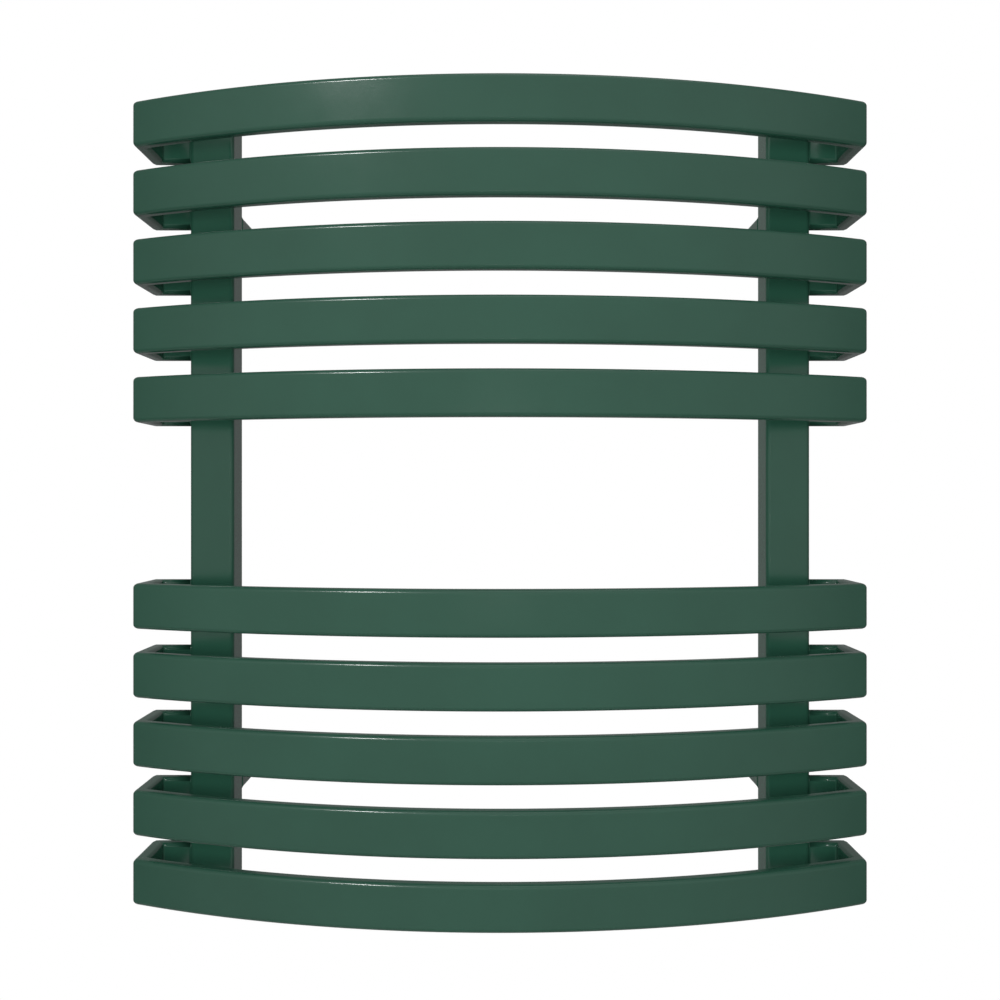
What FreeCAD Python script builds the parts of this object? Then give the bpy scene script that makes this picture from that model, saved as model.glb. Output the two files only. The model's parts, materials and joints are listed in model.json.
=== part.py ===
import FreeCAD, Part
import math
import os
import Sketcher
from FreeCAD import Vector

# Bowed towel rail: two square collectors, ten bowed flat tubes, four wall fixings.
# Frame: X to the right, Y towards the wall (the wall is the plane Y = 0), Z up,
# with the origin at the centre of the four wall fixings. Millimetres.

DRIVING = {
    "rail_width": 485,
    "rung_pitch": 45.5,
    "projection": 160,
    "bow_radius": 570,
    "tube_height": 30,
    "tube_depth": 10,
    "tube_wall": 1.5,
    "tube_edge": 3,
    "outer_corner": 3.2,
    "inner_corner": 1,
    "return_depth": 102,
    "collector_size": 30,
    "collector_edge": 3,
    "collector_wall": 2,
    "collector_inner_edge": 1.5,
    "port_depth": 6,
    "port_height": 25,
    "collector_spacing": 397,
    "collector_depth": 89,
    "end_block": 12,
    "thread_bore": 9.32,
    "fixing_spacing": 378.5,
    "sleeve_wall": 3,
    "sleeve_gap": 0.3,
    "carrier_gap": 0.2,
    "carrier_wall": 3,
    "carrier_end": 4,
    "carrier_reach": 36,
    "pad_thickness": 2,
    "fixing_hole": 3.25,
    "grub_radius": 3,
    "grub_length": 6,
    "grub_point": 1,
    "grub_socket_radius": 1.73,
    "grub_clearance": 0.05,
    "grub_position": 20,
    "plug_shank": 9.25,
    "plug_flange": 12,
    "seal_thickness": 1.5,
    "seal_hole": 9.6,
    "flange_height": 2.5,
    "shank_length": 12.5,
    "key_radius": 6.93,
    "key_depth": 7,
    "screw_radius": 3,
    "screw_thread_depth": 8,
    "screw_engagement": 6,
    "screw_cap_radius": 4.5,
    "screw_cap_height": 0.8,
    "screw_square_radius": 3.2,
    "screw_square_height": 2,
    "drain_radius": 1.5,
    "outlet_radius": 8.5,
    "outlet_bore": 3.3,
    "outlet_height": 3.6,
    "outlet_gap": 0.3,
    "spout_radius": 1.7,
    "spout_reach": 13,
    "spout_bore": 1,
    "cut_length": 60,
}

RUNGS_PER_GROUP = 5
FIRST_LEVEL = 1.5      # pitches from mid-height to the nearest rung of each group
AXES = {"x": Vector(1, 0, 0), "y": Vector(0, 1, 0), "z": Vector(0, 0, 1)}
ORIGIN, V_AXIS = -1, -2          # sketch references
START, END, CENTRE = 1, 2, 3     # sketch point positions

doc = FreeCAD.newDocument("BowedTowelRail")
sheet = doc.addObject("Spreadsheet::Sheet", "sheet")
for row, (alias, number) in enumerate(DRIVING.items(), 1):
    sheet.set(f"A{row}", alias)
    sheet.set(f"B{row}", str(number))
    sheet.setAlias(f"B{row}", alias)
doc.recompute()

nodes = []


def cell(text):
    """Turn the plain aliases of an expression into references to the sheet."""
    words = sorted(DRIVING, key=len, reverse=True)
    for number, word in enumerate(words):
        text = text.replace(word, f"<{number}>")
    for number, word in enumerate(words):
        text = text.replace(f"<{number}>", f"sheet.{word}")
    return text


def evaluate(text):
    """The number that an expression of the sheet's aliases has now."""
    return float(sheet.evalExpression(cell(text).replace("sheet.", "")))


def bind(thing, **expressions):
    for name, text in expressions.items():
        thing.setExpression(name.replace("__", "."), cell(text))


def place(thing, x="0", y="0", z="0"):
    bind(thing, Placement__Base__x=x, Placement__Base__y=y, Placement__Base__z=z)


def node(thing, label):
    """Mark a document object as a finished sub-part."""
    thing.Label = label
    nodes.append(thing)
    return thing


def new_body(name):
    return doc.addObject("PartDesign::Body", name)


def new_sketch(body, name, role):
    plane = next(item for item in body.Origin.OriginFeatures if item.Role == role)
    sketch = body.newObject("Sketcher::SketchObject", name)
    sketch.AttachmentSupport = (plane, [""])
    sketch.MapMode = "FlatFace"
    return sketch


def dimension(sketch, name, kind, *arguments):
    """Add a dimension whose value is the last argument, an expression of the sheet."""
    *geometry, text = arguments
    index = sketch.addConstraint(Sketcher.Constraint(kind, *geometry, evaluate(text)))
    sketch.renameConstraint(index, name)
    sketch.setExpression(f"Constraints.{name}", cell(text))


def constrain(sketch, kind, *geometry):
    sketch.addConstraint(Sketcher.Constraint(kind, *geometry))


def rounded_rectangle(sketch, prefix, width, height, radius):
    """A rounded rectangle centred on the sketch's origin."""
    half_w, half_h, r = evaluate(width) / 2, evaluate(height) / 2, evaluate(radius)
    turns = [(1, 1), (-1, 1), (-1, -1), (1, -1)]
    arcs, sides = [], []
    for quarter, (sx, sy) in enumerate(turns):
        centre = Vector(sx * (half_w - r), sy * (half_h - r), 0)
        whole = Part.Circle(centre, AXES["z"], r)
        first = quarter * math.pi / 2
        arcs.append(sketch.addGeometry(Part.ArcOfCircle(whole, first, first + math.pi / 2)))
    for quarter in range(4):
        start = sketch.getPoint(arcs[quarter], END)
        finish = sketch.getPoint(arcs[(quarter + 1) % 4], START)
        sides.append(sketch.addGeometry(Part.LineSegment(start, finish)))
    for quarter in range(4):
        constrain(sketch, "Tangent", arcs[quarter], END, sides[quarter], START)
        constrain(sketch, "Tangent", sides[quarter], END, arcs[(quarter + 1) % 4], START)
        constrain(sketch, "Vertical" if quarter % 2 else "Horizontal", sides[quarter])
    for other in arcs[1:]:
        constrain(sketch, "Equal", arcs[0], other)
    constrain(sketch, "Symmetric", arcs[0], CENTRE, arcs[2], CENTRE, ORIGIN, START)
    dimension(sketch, prefix + "Radius", "Radius", arcs[0], radius)
    dimension(sketch, prefix + "Width", "DistanceX", sides[1], START, sides[3], START, width)
    dimension(sketch, prefix + "Height", "DistanceY", sides[2], START, sides[0], START, height)


def circle(sketch, name, radius, x="0", y="0"):
    centre = Vector(evaluate(x), evaluate(y), 0)
    index = sketch.addGeometry(Part.Circle(centre, AXES["z"], evaluate(radius)))
    dimension(sketch, name + "Radius", "Radius", index, radius)
    dimension(sketch, name + "X", "DistanceX", ORIGIN, START, index, CENTRE, x)
    dimension(sketch, name + "Y", "DistanceY", ORIGIN, START, index, CENTRE, y)


def rectangle(sketch, name, x, y, width, height):
    """A rectangle given by its centre and its size."""
    cx, cy, w, h = (evaluate(text) for text in (x, y, width, height))
    signs = [(-1, -1), (1, -1), (1, 1), (-1, 1)]
    corners = [Vector(cx + sx * w / 2, cy + sy * h / 2, 0) for sx, sy in signs]
    sides = [
        sketch.addGeometry(Part.LineSegment(corners[i], corners[(i + 1) % 4])) for i in range(4)
    ]
    for i in range(4):
        constrain(sketch, "Coincident", sides[i], END, sides[(i + 1) % 4], START)
        constrain(sketch, "Vertical" if i % 2 else "Horizontal", sides[i])
    dimension(sketch, name + "Width", "DistanceX", sides[0], START, sides[0], END, width)
    dimension(sketch, name + "Height", "DistanceY", sides[1], START, sides[1], END, height)
    left, low = f"({x}) - ({width}) / 2", f"({y}) - ({height}) / 2"
    dimension(sketch, name + "X", "DistanceX", ORIGIN, START, sides[0], START, left)
    dimension(sketch, name + "Y", "DistanceY", ORIGIN, START, sides[0], START, low)


def pad(body, name, sketch, length, both_ways=False, back=False):
    feature = body.newObject("PartDesign::Pad", name)
    feature.Profile = sketch
    feature.Midplane = both_ways
    feature.Reversed = back
    bind(feature, Length=length)
    doc.recompute()
    return feature


def pocket(body, name, sketch, length, both_ways=False, back=False):
    """Cut a sketch into a body, and make sure that it removed something."""
    before = body.Shape.Volume
    feature = body.newObject("PartDesign::Pocket", name)
    feature.Profile = sketch
    feature.Midplane = both_ways
    feature.Reversed = back
    bind(feature, Length=length)
    doc.recompute()
    if body.Shape.Volume >= before - 1:
        raise RuntimeError(f"{name} cuts nothing")
    return feature


def edge_names(shape, wanted):
    return [f"Edge{i}" for i, edge in enumerate(shape.Edges, 1) if wanted(edge.BoundBox)]


def face_names(shape, wanted):
    return [f"Face{i}" for i, face in enumerate(shape.Faces, 1) if wanted(face.BoundBox)]


def fillet(body, name, base, wanted, radius):
    feature = body.newObject("PartDesign::Fillet", name)
    feature.Base = (base, edge_names(base.Shape, wanted))
    bind(feature, Radius=radius)
    doc.recompute()
    return feature


def near(a, b):
    return abs(a - b) < 1e-3


# The rung: one hollow flat tube in plan, bowed at the front, with a return and a stub
# at each end. It is cut at its front mitres into the bow and the two returns.

FRONT = "-projection"
STUB_END = "collector_spacing / 2 + collector_size / 2"
STUB_BACK = "return_depth - projection"
BOW_CENTRE = "bow_radius - projection"


def arc_depth(radius, half_width):
    """Y of a bow arc of this radius at this half width."""
    return f"({BOW_CENTRE}) - sqrt(({radius}) ^ 2 - ({half_width}) ^ 2)"


def rung_outline(sketch):
    """The rung's plan: two arcs, and five straight edges at each side."""
    half = "rail_width / 2"
    inner = "rail_width / 2 - tube_depth"
    points = [
        (half, arc_depth("bow_radius", half)),
        (half, STUB_BACK),
        (STUB_END, STUB_BACK),
        (STUB_END, f"{STUB_BACK} - tube_depth"),
        (inner, f"{STUB_BACK} - tube_depth"),
        (inner, arc_depth("bow_radius - tube_depth", inner)),
    ]
    centre = Vector(0, evaluate(BOW_CENTRE), 0)
    arcs = []
    for (x, y), radius in ((points[0], "bow_radius"), (points[5], "bow_radius - tube_depth")):
        swing = math.asin(evaluate(x) / evaluate(radius))
        full = Part.Circle(centre, AXES["z"], evaluate(radius))
        down = 1.5 * math.pi
        arcs.append(sketch.addGeometry(Part.ArcOfCircle(full, down - swing, down + swing)))
    for name, sign in (("right", 1), ("left", -1)):
        corners = [Vector(sign * evaluate(x), evaluate(y), 0) for x, y in points]
        chain = [sketch.addGeometry(Part.LineSegment(a, b)) for a, b in zip(corners, corners[1:])]
        tip = END if sign > 0 else START
        constrain(sketch, "Coincident", arcs[0], tip, chain[0], START)
        constrain(sketch, "Coincident", chain[4], END, arcs[1], tip)
        for a, b in zip(chain, chain[1:]):
            constrain(sketch, "Coincident", a, END, b, START)
        for index, line in enumerate(chain):
            constrain(sketch, "Horizontal" if index % 2 else "Vertical", line)
        for word, line, text in (("Half", 0, half), ("Inner", 4, inner), ("Stub", 2, STUB_END)):
            ends = [(ORIGIN, START), (chain[line], START)][::sign]
            dimension(sketch, name + word, "DistanceX", *ends[0], *ends[1], text)
        back = f"0 - ({STUB_BACK})"
        dimension(sketch, name + "Back", "DistanceY", chain[1], START, ORIGIN, START, back)
        dimension(sketch, name + "Depth", "DistanceY", chain[2], END, chain[2], START, "tube_depth")
    constrain(sketch, "Coincident", arcs[0], CENTRE, arcs[1], CENTRE)
    constrain(sketch, "PointOnObject", arcs[0], CENTRE, V_AXIS)
    dimension(sketch, "bowRadius", "Radius", arcs[0], "bow_radius")
    dimension(sketch, "innerRadius", "Radius", arcs[1], "bow_radius - tube_depth")
    dimension(sketch, "bowCentre", "DistanceY", ORIGIN, START, arcs[0], CENTRE, BOW_CENTRE)


def rung_tube():
    """The whole rung as one hollow tube, open at its two stub ends."""
    body = new_body("rung_tube")
    plan = new_sketch(body, "rung_plan", "XY_Plane")
    rung_outline(plan)
    bar = pad(body, "rung_bar", plan, "tube_height", both_ways=True)
    half, depth = evaluate("rail_width / 2"), evaluate("tube_depth")
    top, stub = evaluate("tube_height / 2"), evaluate(STUB_END)

    def upright(box, x):
        return near(box.XMax, box.XMin) and box.ZLength > depth and near(abs(box.XMax), x)

    def open_end(box):
        return near(box.XMax, box.XMin) and near(abs(box.XMax), stub)

    def rim(box):
        return near(box.ZMax, box.ZMin) and near(abs(box.ZMax), top) and not open_end(box)

    bar = fillet(body, "outer_bends", bar, lambda box: upright(box, half), "outer_corner")
    bar = fillet(body, "inner_bends", bar, lambda box: upright(box, half - depth), "inner_corner")
    bar = fillet(body, "long_edges", bar, rim, "tube_edge")
    hollow = body.newObject("PartDesign::Thickness", "rung_bore")
    hollow.Base = (bar, face_names(bar.Shape, open_end))
    hollow.Reversed = True
    bind(hollow, Value="tube_wall")
    doc.recompute()
    return body


def mitre_zone():
    """The space in front of the two front mitres, which run from outer to inner corner."""
    half, inner = evaluate("rail_width / 2"), evaluate("rail_width / 2 - tube_depth")
    outer_y = evaluate(arc_depth("bow_radius", "rail_width / 2"))
    inner_y = evaluate(arc_depth("bow_radius - tube_depth", "rail_width / 2 - tube_depth"))
    outer, run = Vector(half, outer_y, 0), Vector(inner - half, inner_y - outer_y, 0)
    far, near_point = outer - run, outer + run * 4
    front = Vector(far.x, evaluate(FRONT) - 1, 0)
    right = [near_point, far, front]
    left = [Vector(-p.x, p.y, 0) for p in reversed(right)]
    lift = Vector(0, 0, evaluate("tube_height"))
    ring = [point - lift for point in right + left]
    zone = doc.addObject("Part::Feature", "mitre_zone")
    zone.Shape = Part.Face(Part.makePolygon(ring + ring[:1])).extrude(lift * 2)
    return zone


def side_zone(name, sign):
    """Everything of the rung to one side of the middle."""
    zone = doc.addObject("Part::Box", name)
    bind(zone, Length="rail_width", Width="projection * 2", Height="tube_height * 2")
    place(zone, "0" if sign > 0 else "0 - rail_width", "0 - projection * 1.5", "0 - tube_height")
    return zone


def boolean(kind, name, base, tool):
    feature = doc.addObject(kind, name)
    feature.Base = base
    feature.Tool = tool
    return feature


def rung_level(index):
    """Height of a rung, counted from the top, in pitches."""
    if index < RUNGS_PER_GROUP:
        return FIRST_LEVEL + RUNGS_PER_GROUP - 1 - index
    return -(FIRST_LEVEL + index - RUNGS_PER_GROUP)


def make_rungs():
    tube, front = rung_tube(), mitre_zone()
    ends = boolean("Part::Cut", "rung_ends", tube, front)
    pieces = [("bow", tube, front)]
    pieces += [("left_return", ends, side_zone("left_zone", -1))]
    pieces += [("right_return", ends, side_zone("right_zone", 1))]
    for index in range(2 * RUNGS_PER_GROUP):
        for piece, base, zone in pieces:
            label = f"rung_{index + 1:02d}_{piece}"
            part = node(boolean("Part::Common", label, base, zone), label)
            place(part, z=f"rung_pitch * ({rung_level(index)})")


# Collectors: square tubes with a slot for each stub, and a threaded block at each end.

COLLECTOR_Y = "collector_depth + collector_size / 2 - projection"
TUBE_END = f"rung_pitch * {FIRST_LEVEL + RUNGS_PER_GROUP - 1} + tube_height / 2"


def make_collector(side, sign):
    body = node(new_body(f"{side}_collector"), f"{side}_collector")
    section = new_sketch(body, f"{side}_section", "XY_Plane")
    rounded_rectangle(section, "outer", "collector_size", "collector_size", "collector_edge")
    inside = "collector_size - 2 * collector_wall"
    rounded_rectangle(section, "inner", inside, inside, "collector_inner_edge")
    pad(body, f"{side}_tube", section, f"2 * ({TUBE_END})", both_ways=True)
    slots = new_sketch(body, f"{side}_slots", "YZ_Plane")
    stub_y = f"{STUB_BACK} - tube_depth / 2 - ({COLLECTOR_Y})"
    for index in range(2 * RUNGS_PER_GROUP):
        level = f"rung_pitch * ({rung_level(index)})"
        rectangle(slots, f"slot{index + 1}", stub_y, level, "port_depth", "port_height")
    pocket(body, f"{side}_ports", slots, "collector_size", back=sign > 0)
    place(body, f"{sign} * collector_spacing / 2", COLLECTOR_Y)


def make_end_block(side, sign, end, up):
    """A block welded on a collector's end, with a through thread."""
    label = f"{side}_{end}"
    body = node(new_body(label), label)
    section = new_sketch(body, f"{label}_section", "XY_Plane")
    rounded_rectangle(section, "block", "collector_size", "collector_size", "collector_edge")
    circle(section, "bore", "thread_bore")
    pad(body, f"{label}_pad", section, "end_block", back=up < 0)
    place(body, f"{sign} * collector_spacing / 2", COLLECTOR_Y, f"{up} * ({TUBE_END})")


# Wall fixings: a sleeve welded behind the collector slides over a carrier on the wall,
# and a grub screw under the sleeve locks it.

SLEEVE_START = f"{COLLECTOR_Y} + collector_size / 2"
SLEEVE_END = "0 - pad_thickness - sleeve_gap"
FIXINGS = [
    ("upper_left", -1, 1),
    ("upper_right", 1, 1),
    ("lower_left", -1, -1),
    ("lower_right", 1, -1),
]


def fixing_x(sign):
    return f"{sign} * collector_spacing / 2"


def fixing_z(up):
    return f"{up} * fixing_spacing / 2"


def wall_section(body, name, size, edge):
    """A rounded square on the body's XZ plane, which faces the wall."""
    section = new_sketch(body, name, "XZ_Plane")
    rounded_rectangle(section, "outer", size, size, edge)
    return section


def make_sleeve(name, sign, up):
    body = node(new_body(f"{name}_sleeve"), f"{name}_sleeve")
    section = wall_section(body, f"{name}_sleeve_section", "collector_size", "collector_edge")
    inside = "collector_size - 2 * sleeve_wall"
    rounded_rectangle(section, "inner", inside, inside, "collector_edge / 4")
    length = f"{SLEEVE_END} - ({SLEEVE_START})"
    pad(body, f"{name}_sleeve_tube", section, length)
    hole = new_sketch(body, f"{name}_grub_hole", "XY_Plane")
    circle(hole, "grub", "grub_radius + grub_clearance", y=f"0 - grub_position - ({SLEEVE_END})")
    pocket(body, f"{name}_grub_thread", hole, "collector_size")
    place(body, fixing_x(sign), SLEEVE_END, fixing_z(up))


def make_carrier(name, sign, up):
    label = f"{name}_wall_carrier"
    body = node(new_body(label), label)
    size = "collector_size - 2 * sleeve_wall - 2 * carrier_gap"
    section = wall_section(body, f"{label}_section", size, "collector_edge / 3")
    pad(body, f"{label}_bar", section, "carrier_reach")
    hollow = new_sketch(body, f"{label}_hollow", "XZ_Plane")
    inside = f"{size} - 2 * carrier_wall"
    rounded_rectangle(hollow, "bore", inside, inside, "collector_edge / 3")
    bind(hollow, AttachmentOffset__Base__z="carrier_end")
    pocket(body, f"{label}_mouth", hollow, "carrier_reach", back=True)
    screw = new_sketch(body, f"{label}_screw", "XZ_Plane")
    circle(screw, "screw", "fixing_hole")
    pocket(body, f"{label}_hole", screw, "carrier_reach", back=True)
    place(body, fixing_x(sign), "0 - pad_thickness", fixing_z(up))


def make_pad(name, sign, up):
    body = node(new_body(f"{name}_wall_pad"), f"{name}_wall_pad")
    section = wall_section(body, f"{name}_pad_section", "collector_size", "collector_edge")
    circle(section, "screw", "fixing_hole")
    pad(body, f"{name}_pad_plate", section, "pad_thickness")
    place(body, fixing_x(sign), "0", fixing_z(up))


# Turned pieces, from Part primitives.

def cylinder(name, radius, height, x, y, z):
    thing = doc.addObject("Part::Cylinder", name)
    bind(thing, Radius=radius, Height=height)
    place(thing, x, y, z)
    return thing


def prism(name, sides, radius, height, x, y, z):
    thing = doc.addObject("Part::Prism", name)
    thing.Polygon = sides
    bind(thing, Circumradius=radius, Height=height)
    place(thing, x, y, z)
    return thing


def fuse(name, *pieces):
    thing = doc.addObject("Part::MultiFuse", name)
    thing.Shapes = list(pieces)
    thing.Refine = True
    return thing


def make_grub_screw(name, sign, up):
    """A socket set screw, its tip on the carrier's underside."""
    label = f"{name}_grub_screw"
    x, y = fixing_x(sign), "0 - grub_position"
    tip = f"{fixing_z(up)} - (collector_size / 2 - sleeve_wall - carrier_gap)"
    base = f"{tip} - grub_length"
    shank = cylinder(f"{label}_shank", "grub_radius", "grub_length - grub_point", x, y, base)
    point = doc.addObject("Part::Cone", f"{label}_point")
    bind(point, Radius1="grub_radius", Radius2="grub_radius - grub_point", Height="grub_point")
    place(point, x, y, f"{tip} - grub_point")
    screw = fuse(f"{label}_solid", shank, point)
    socket = prism(f"{label}_socket", 6, "grub_socket_radius", "grub_length / 2", x, y, base)
    node(boolean("Part::Cut", label, screw, socket), label)


BLOCK_TOP = f"{TUBE_END} + end_block"


def make_seal(label, x):
    ring = cylinder(f"{label}_ring", "plug_flange", "seal_thickness", x, COLLECTOR_Y, BLOCK_TOP)
    hole = cylinder(f"{label}_hole", "seal_hole", "seal_thickness", x, COLLECTOR_Y, BLOCK_TOP)
    node(boolean("Part::Cut", label, ring, hole), label)


def plug_blank(label, x):
    """The flange and shank that a plug and a vent share, from below the block's top."""
    seat = f"{BLOCK_TOP} + seal_thickness"
    shank_base = f"{seat} - shank_length"
    shank = cylinder(f"{label}_shank", "plug_shank", "shank_length", x, COLLECTOR_Y, shank_base)
    flange = cylinder(f"{label}_flange", "plug_flange", "flange_height", x, COLLECTOR_Y, seat)
    return fuse(f"{label}_blank", shank, flange), f"{seat} + flange_height"


def make_blanking_plug(sign):
    x = fixing_x(sign)
    make_seal("blanking_plug_seal", x)
    blank, top = plug_blank("blanking_plug", x)
    key = prism("blanking_plug_key", 6, "key_radius", "cut_length", x, COLLECTOR_Y, f"{top} - key_depth")
    node(boolean("Part::Cut", "blanking_plug", blank, key), "blanking_plug")


def make_vent_body(x, y):
    """The vent's plug, bored for the bleed screw. Returns the height of its flange's top."""
    make_seal("air_vent_seal", x)
    blank, top = plug_blank("air_vent_blank", x)
    seat = f"{top} - screw_thread_depth"
    thread = cylinder("air_vent_thread", "screw_radius + grub_clearance", "cut_length", x, y, seat)
    drain = cylinder("air_vent_drain", "drain_radius", "cut_length", x, y, f"{BLOCK_TOP} - end_block")
    bores = fuse("air_vent_bores", thread, drain)
    node(boolean("Part::Cut", "air_vent_body", blank, bores), "air_vent_body")
    return top


def make_vent_outlet(x, y, base):
    """A ring that turns about the bleed screw, with a spout towards the wall."""
    ring = cylinder("vent_outlet_ring", "outlet_radius", "outlet_height", x, y, base)
    bore = cylinder("vent_outlet_bore", "outlet_bore", "cut_length", x, y, f"{base} - outlet_gap")
    level = f"{base} + outlet_height / 2"
    spout = cylinder("vent_outlet_spout", "spout_radius", "spout_reach", x, y, level)
    drip = cylinder("vent_outlet_drip", "spout_bore", "cut_length", x, y, level)
    for lying in (spout, drip):
        lying.Placement.Rotation = FreeCAD.Rotation(AXES["x"], -90)
    bores = fuse("vent_outlet_bores", bore, drip)
    solid = fuse("vent_outlet_solid", ring, spout)
    node(boolean("Part::Cut", "vent_outlet", solid, bores), "vent_outlet")


def make_bleed_screw(x, y, flange_top):
    """The screw that closes the vent: a stem, a cap over the outlet ring and a square end."""
    stem_base = f"{flange_top} - screw_engagement"
    cap_base = f"{flange_top} + outlet_height + 2 * outlet_gap"
    square_base = f"{cap_base} + screw_cap_height"
    stem = cylinder("bleed_screw_stem", "screw_radius", f"{cap_base} - ({stem_base})", x, y, stem_base)
    cap = cylinder("bleed_screw_cap", "screw_cap_radius", "screw_cap_height", x, y, cap_base)
    size = ("screw_square_radius", "screw_square_height")
    square = prism("bleed_screw_square", 4, *size, x, y, square_base)
    node(fuse("bleed_screw", stem, cap, square), "bleed_screw")


def make_air_vent(sign):
    x, y = fixing_x(sign), COLLECTOR_Y
    flange_top = make_vent_body(x, y)
    make_vent_outlet(x, y, f"{flange_top} + outlet_gap")
    make_bleed_screw(x, y, flange_top)


def write_parts():
    """Check every object and sub-part, then write one file for each sub-part."""
    doc.recompute()
    for thing in doc.Objects:
        if {"Invalid", "Error"} & set(thing.State):
            raise RuntimeError(f"{thing.Name} is {thing.State}")
    os.makedirs("parts", exist_ok=True)
    for thing in nodes:
        shape = thing.Shape
        if shape.isNull() or not shape.isValid() or not shape.Solids:
            raise RuntimeError(f"{thing.Label} has no valid solid")
        shape.exportStep(f"parts/{thing.Label}.step")
    print(len(nodes), "parts written")


make_rungs()
for side, sign in (("left", -1), ("right", 1)):
    make_collector(side, sign)
    make_end_block(side, sign, "top_socket", 1)
    make_end_block(side, sign, "bottom_socket", -1)
for name, sign, up in FIXINGS:
    make_sleeve(name, sign, up)
    make_carrier(name, sign, up)
    make_pad(name, sign, up)
    make_grub_screw(name, sign, up)
make_blanking_plug(-1)
make_air_vent(1)
write_parts()
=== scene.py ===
import json
from math import asin, cos, pi, radians, sin, tan

import bmesh
import bpy
from mathutils import Matrix, Vector

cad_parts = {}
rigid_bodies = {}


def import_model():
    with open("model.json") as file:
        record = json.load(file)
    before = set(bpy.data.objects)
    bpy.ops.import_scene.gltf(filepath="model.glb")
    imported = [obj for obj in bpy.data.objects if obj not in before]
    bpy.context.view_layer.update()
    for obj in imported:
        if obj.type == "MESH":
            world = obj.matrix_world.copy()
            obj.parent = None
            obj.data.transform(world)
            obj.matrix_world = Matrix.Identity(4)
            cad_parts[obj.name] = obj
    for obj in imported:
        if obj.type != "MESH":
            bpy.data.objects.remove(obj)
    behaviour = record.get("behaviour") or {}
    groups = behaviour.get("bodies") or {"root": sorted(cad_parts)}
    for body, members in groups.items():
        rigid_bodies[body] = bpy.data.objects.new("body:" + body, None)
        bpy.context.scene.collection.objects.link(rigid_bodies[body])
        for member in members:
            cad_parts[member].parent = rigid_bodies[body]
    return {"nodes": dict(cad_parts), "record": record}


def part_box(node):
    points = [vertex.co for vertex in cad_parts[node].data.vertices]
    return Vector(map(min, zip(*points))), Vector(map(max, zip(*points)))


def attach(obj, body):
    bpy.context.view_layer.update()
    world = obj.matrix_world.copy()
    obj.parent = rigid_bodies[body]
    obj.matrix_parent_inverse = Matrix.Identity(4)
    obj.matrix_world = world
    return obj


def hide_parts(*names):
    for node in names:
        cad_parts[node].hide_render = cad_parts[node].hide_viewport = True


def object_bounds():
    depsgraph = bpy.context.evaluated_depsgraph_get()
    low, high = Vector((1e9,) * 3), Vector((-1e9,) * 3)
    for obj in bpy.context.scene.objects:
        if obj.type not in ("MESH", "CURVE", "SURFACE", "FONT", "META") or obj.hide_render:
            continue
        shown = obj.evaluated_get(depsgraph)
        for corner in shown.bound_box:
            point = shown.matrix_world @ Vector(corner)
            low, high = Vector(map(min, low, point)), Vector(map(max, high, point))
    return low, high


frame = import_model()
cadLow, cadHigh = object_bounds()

# Metres. X to the right, Y towards the wall, Z up, origin between the four wall fixings.
planeSlack = 2e-6             # how near a point has to be to a plane to count as on it
rungNumbers = range(1, 11)
fixings = ["upper_left", "upper_right", "lower_left", "lower_right"]


def deselectAll():
    if bpy.context.mode != "OBJECT":
        bpy.ops.object.mode_set(mode="OBJECT")
    bpy.ops.object.select_all(action="DESELECT")


def makeActive(piece):
    deselectAll()
    piece.select_set(True)
    bpy.context.view_layer.objects.active = piece


def named(name):
    # the newest primitive gets its name, and its place goes into its mesh
    piece = bpy.context.active_object
    piece.name = name
    piece.data.name = name
    bpy.ops.object.transform_apply(location=True, rotation=True, scale=True)
    return piece


def openEdit(kind="VERT"):
    bpy.ops.object.mode_set(mode="EDIT")
    bpy.ops.mesh.select_mode(type=kind)


def closeEdit():
    bpy.ops.object.mode_set(mode="OBJECT")


def pick(kind, test):
    # in edit mode: select the verts, edges or faces whose corners all pass the test
    mesh = bmesh.from_edit_mesh(bpy.context.active_object.data)
    bpy.ops.mesh.select_mode(type=kind)
    bpy.ops.mesh.select_all(action="DESELECT")
    group = {"VERT": mesh.verts, "EDGE": mesh.edges, "FACE": mesh.faces}[kind]
    for item in group:
        corners = [item] if kind == "VERT" else item.verts
        item.select_set(all(test(v.co) for v in corners))
    mesh.select_flush_mode()
    bmesh.update_edit_mesh(bpy.context.active_object.data)


def extrude(move):
    bpy.ops.mesh.extrude_region_move(TRANSFORM_OT_translate={"value": tuple(move)})


def cutRun(point, normal):
    # cut the run just extruded, throw away the side that the normal points to, and pick the new end
    bpy.ops.mesh.select_more()
    bpy.ops.mesh.bisect(plane_co=tuple(point), plane_no=tuple(normal), clear_outer=True)
    pick("VERT", onPlane(point, normal))


def onPlane(point, normal):
    return lambda co: abs((co - point).dot(normal)) < planeSlack


def applyModifier(kind, **settings):
    piece = bpy.context.view_layer.objects.active
    modifier = piece.modifiers.new(kind.title(), kind)
    for key, value in settings.items():
        setattr(modifier, key, value)
    bpy.ops.object.modifier_apply(modifier=modifier.name)


def cleanNormals():
    openEdit()
    bpy.ops.mesh.select_all(action="SELECT")
    bpy.ops.mesh.remove_doubles(threshold=1e-6)
    bpy.ops.mesh.normals_make_consistent(inside=False)
    closeEdit()


def smooth(weighted=True):
    bpy.ops.object.shade_smooth()
    if weighted:
        applyModifier("WEIGHTED_NORMAL", keep_sharp=True)


def copyTo(piece, name, shift=(0, 0, 0), mirrorX=False, mirrorZ=False):
    twin = piece.copy()
    twin.data = piece.data.copy()
    twin.name = name
    twin.data.name = name
    bpy.context.scene.collection.objects.link(twin)
    if mirrorX or mirrorZ:
        turn = Matrix.Diagonal((-1 if mirrorX else 1, 1, -1 if mirrorZ else 1, 1))
        twin.data.transform(turn)
        if mirrorX != mirrorZ:
            twin.data.flip_normals()
    twin.data.transform(Matrix.Translation(shift))
    return twin


def finishPiece(piece, material, body, slot, *nodes):
    piece.data.materials.clear()
    piece.data.materials.append(material)
    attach(piece, body)
    if nodes:
        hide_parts(*nodes)
    return piece


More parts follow.
